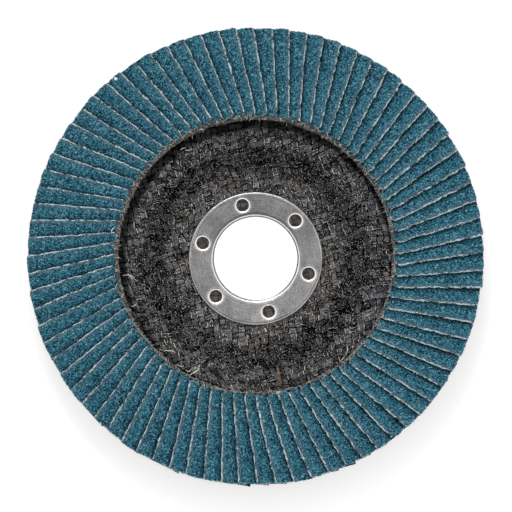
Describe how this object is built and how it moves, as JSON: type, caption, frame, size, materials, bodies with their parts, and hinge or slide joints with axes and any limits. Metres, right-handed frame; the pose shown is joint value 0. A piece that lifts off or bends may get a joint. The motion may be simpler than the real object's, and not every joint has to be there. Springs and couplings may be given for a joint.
{
  "type": "flap disc",
  "caption": "Abrasive flap disc for an angle grinder: overlapping cloth flaps fanned round a dished glass-fibre plate with a steel hub ring.",
  "frame": {"origin": "on the bore axis, in the plane of the hub's back face, on which the disc rests", "axes": "+Z runs along the bore axis from the back of the hub towards the grinding side; the pattern of flaps is the same along X and Y"},
  "size_m": [0.125, 0.125, 0.0145],
  "materials": {
    "abrasive_cloth": "blue-green zirconia grain bonded in resin on cloth, with pale frayed edges",
    "fibreglass": "black resin over open woven glass fibre, semi-gloss",
    "hub_steel": "satin zinc-plated sheet steel",
    "adhesive": "dark brown cured resin"
  },
  "bodies": {
    "root": {"backing_plate": "fibreglass", "hub_ring": "hub_steel", "adhesive_bead": "adhesive", "flap_pair_01": "abrasive_cloth", "flap_pair_02": "abrasive_cloth", "flap_pair_03": "abrasive_cloth", "flap_pair_04": "abrasive_cloth", "flap_pair_05": "abrasive_cloth", "flap_pair_06": "abrasive_cloth", "flap_pair_07": "abrasive_cloth", "flap_pair_08": "abrasive_cloth", "flap_pair_09": "abrasive_cloth", "flap_pair_10": "abrasive_cloth", "flap_pair_11": "abrasive_cloth", "flap_pair_12": "abrasive_cloth", "flap_pair_13": "abrasive_cloth", "flap_pair_14": "abrasive_cloth", "flap_pair_15": "abrasive_cloth", "flap_pair_16": "abrasive_cloth", "flap_pair_17": "abrasive_cloth", "flap_pair_18": "abrasive_cloth", "flap_pair_19": "abrasive_cloth", "flap_pair_20": "abrasive_cloth", "flap_pair_21": "abrasive_cloth", "flap_pair_22": "abrasive_cloth", "flap_pair_23": "abrasive_cloth", "flap_pair_24": "abrasive_cloth", "flap_pair_25": "abrasive_cloth", "flap_pair_26": "abrasive_cloth", "flap_pair_27": "abrasive_cloth", "flap_pair_28": "abrasive_cloth", "flap_pair_29": "abrasive_cloth", "flap_pair_30": "abrasive_cloth", "flap_pair_31": "abrasive_cloth", "flap_pair_32": "abrasive_cloth", "flap_pair_33": "abrasive_cloth", "flap_pair_34": "abrasive_cloth", "flap_pair_35": "abrasive_cloth", "flap_pair_36": "abrasive_cloth", "flap_pair_37": "abrasive_cloth", "flap_pair_38": "abrasive_cloth", "flap_pair_39": "abrasive_cloth", "flap_pair_40": "abrasive_cloth"}
  },
  "joints": []
}
